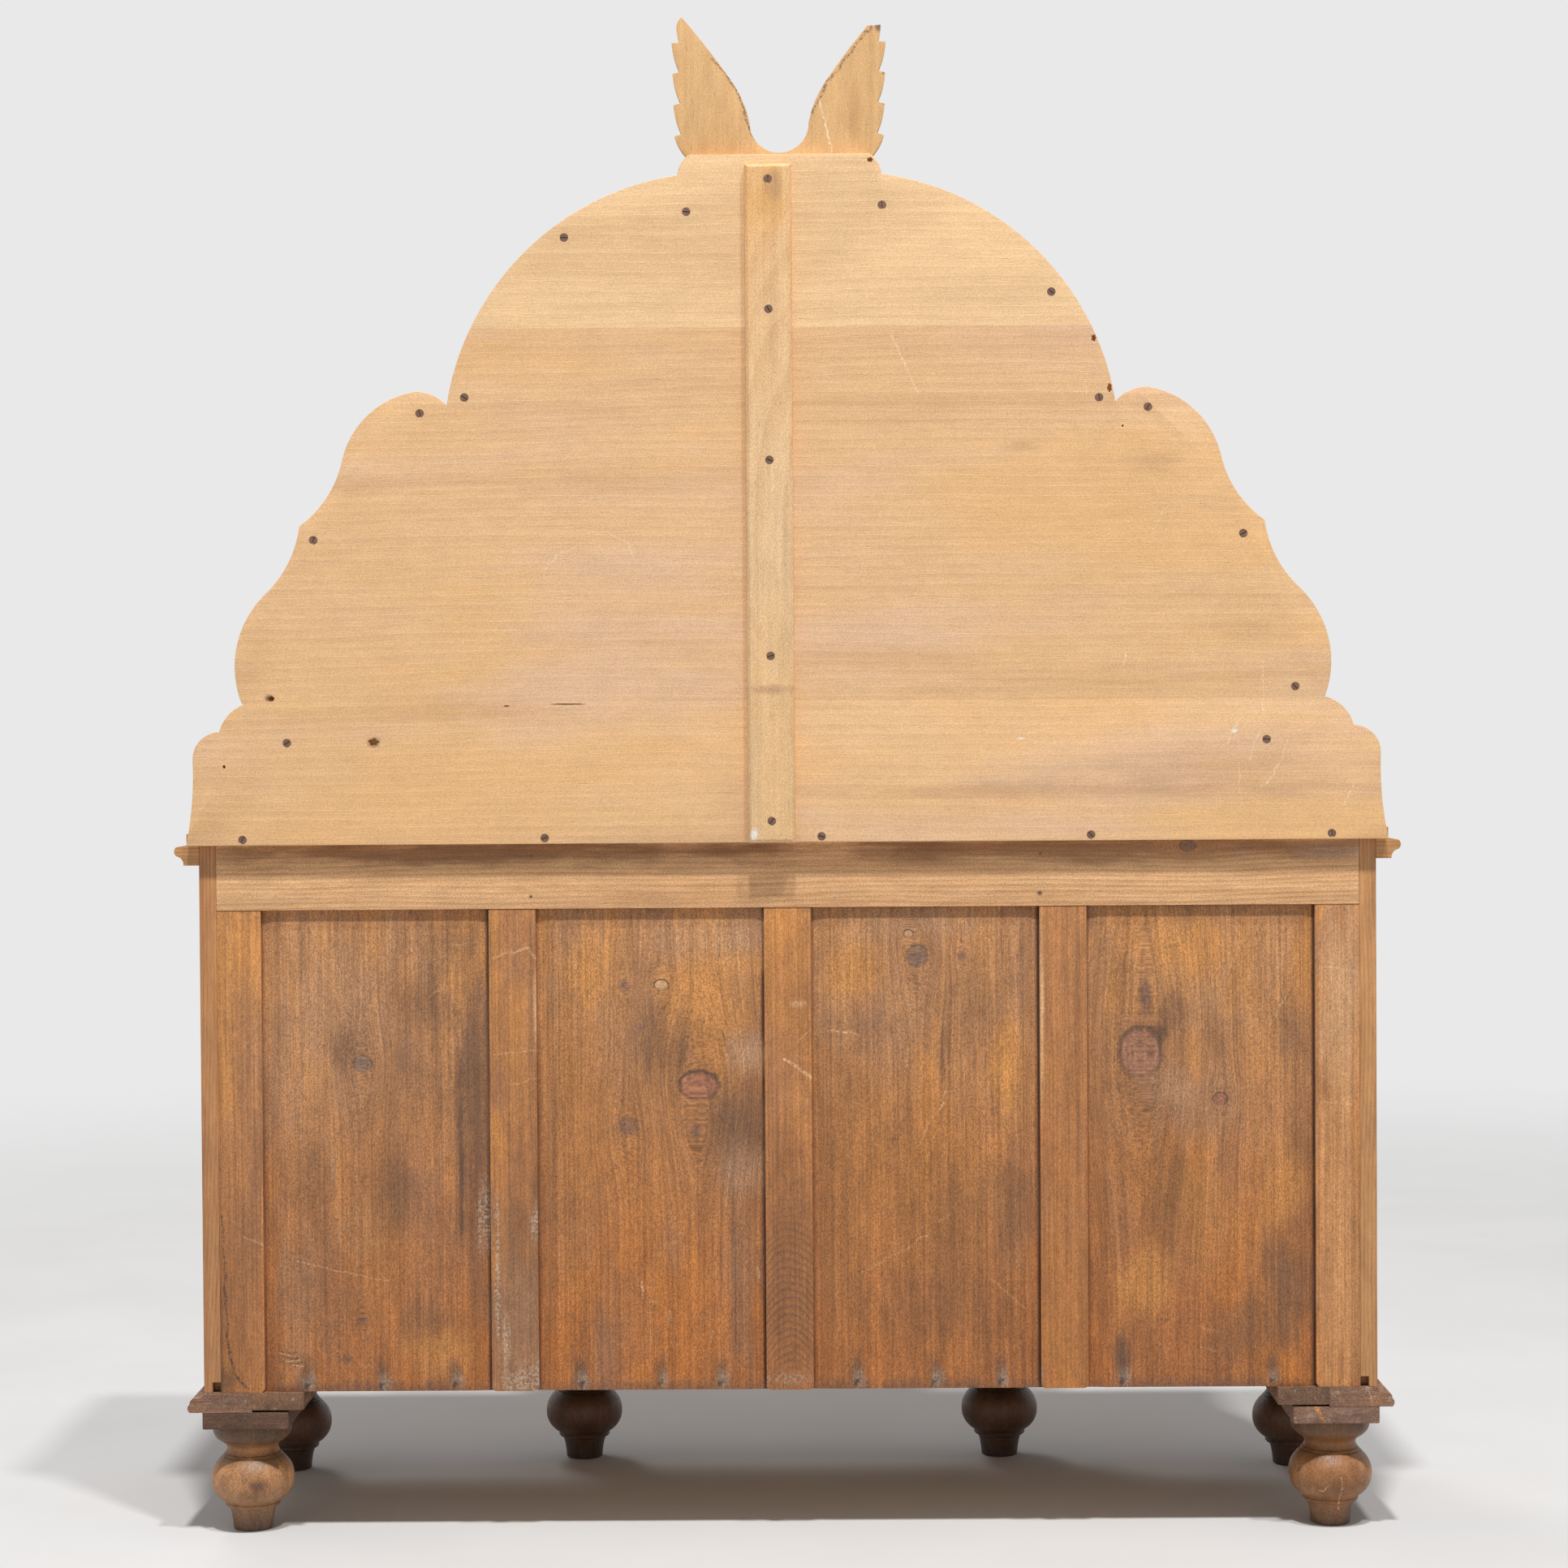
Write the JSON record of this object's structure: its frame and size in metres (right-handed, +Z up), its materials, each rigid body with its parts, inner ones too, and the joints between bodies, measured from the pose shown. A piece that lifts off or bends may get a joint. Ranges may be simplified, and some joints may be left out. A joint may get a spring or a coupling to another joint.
{
  "type": "cupboard with shaped gallery back",
  "caption": "Low breakfront pine cupboard on turned feet, with drawers over panelled doors and a tall scrolled gallery back carrying a leaf crest.",
  "frame": {"origin": "on the floor, under the centre of the overall box", "axes": "+Z up, doors and drawers face -Y, +X is the right-hand end seen from the front"},
  "size_m": [1.588, 0.577, 1.965],
  "materials": {
    "gallery_pine": "bare pale pine, waxed",
    "case_pine": "waxed old pine",
    "back_pine": "bare aged pine, stained",
    "inside_pine": "bare pine",
    "base_pine": "worn dark pine",
    "hinge_brass": "dull aged brass",
    "screw_iron": "dark aged iron"
  },
  "bodies": {
    "carcass": {"arch_mouldings": "gallery_pine", "back_muntins": "back_pine", "back_panel_1": "back_pine", "back_panel_2": "back_pine", "back_panel_3": "back_pine", "back_panel_4": "back_pine", "back_rail": "back_pine", "back_stiles": "back_pine", "bottom_board": "inside_pine", "case_side_left": "case_pine", "case_side_right": "case_pine", "crest": "gallery_pine", "drawer_kickers": "inside_pine", "drawer_runners": "inside_pine", "feet": "base_pine", "foot_plates": "base_pine", "front_rails": "case_pine", "gallery_batten": "gallery_pine", "gallery_board_lower": "gallery_pine", "gallery_board_middle": "gallery_pine", "gallery_board_upper": "gallery_pine", "gallery_screws": "screw_iron", "hinge_leaves_case": "hinge_brass", "hinge_pins": "hinge_brass", "partition_left": "case_pine", "partition_right": "case_pine", "plinth_blocks": "base_pine", "plinth_frame": "base_pine", "shelf_bearers": "inside_pine", "shelf_centre": "inside_pine", "shelf_left": "inside_pine", "shelf_right": "inside_pine", "side_mouldings": "gallery_pine", "top_board": "case_pine", "top_moulding": "case_pine"},
    "door_outer_left": {"door_outer_left_frame": "case_pine", "door_outer_left_hinge_leaves": "hinge_brass", "door_outer_left_knob": "case_pine", "door_outer_left_panel": "case_pine"},
    "door_outer_right": {"door_outer_right_frame": "case_pine", "door_outer_right_hinge_leaves": "hinge_brass", "door_outer_right_knob": "case_pine", "door_outer_right_panel": "case_pine"},
    "door_inner_left": {"door_inner_left_frame": "case_pine", "door_inner_left_hinge_leaves": "hinge_brass", "door_inner_left_knob": "case_pine", "door_inner_left_panel": "case_pine"},
    "door_inner_right": {"door_inner_right_frame": "case_pine", "door_inner_right_hinge_leaves": "hinge_brass", "door_inner_right_knob": "case_pine", "door_inner_right_panel": "case_pine"},
    "drawer_left": {"drawer_left_box": "inside_pine", "drawer_left_front": "case_pine", "drawer_left_knobs": "case_pine"},
    "drawer_centre": {"drawer_centre_box": "inside_pine", "drawer_centre_front": "case_pine", "drawer_centre_knobs": "case_pine"},
    "drawer_right": {"drawer_right_box": "inside_pine", "drawer_right_front": "case_pine", "drawer_right_knobs": "case_pine"}
  },
  "joints": [
    {"name": "door_outer_left_swing", "type": "hinge", "parent": "carcass", "child": "door_outer_left", "pos_m": [-0.7395, -0.1935, 0.463], "axis": [0, 0, -1], "range_deg": [0, 110]},
    {"name": "door_outer_right_swing", "type": "hinge", "parent": "carcass", "child": "door_outer_right", "pos_m": [0.7395, -0.1935, 0.463], "axis": [0, 0, 1], "range_deg": [0, 110]},
    {"name": "door_inner_left_swing", "type": "hinge", "parent": "carcass", "child": "door_inner_left", "pos_m": [-0.3295, -0.2595, 0.463], "axis": [0, 0, -1], "range_deg": [0, 110]},
    {"name": "door_inner_right_swing", "type": "hinge", "parent": "carcass", "child": "door_inner_right", "pos_m": [0.3295, -0.2595, 0.463], "axis": [0, 0, 1], "range_deg": [0, 110]},
    {"name": "drawer_left_slide", "type": "slide", "parent": "carcass", "child": "drawer_left", "axis": [0, -1, 0], "range_m": [0, 0.3]},
    {"name": "drawer_centre_slide", "type": "slide", "parent": "carcass", "child": "drawer_centre", "axis": [0, -1, 0], "range_m": [0, 0.34]},
    {"name": "drawer_right_slide", "type": "slide", "parent": "carcass", "child": "drawer_right", "axis": [0, -1, 0], "range_m": [0, 0.3]}
  ]
}
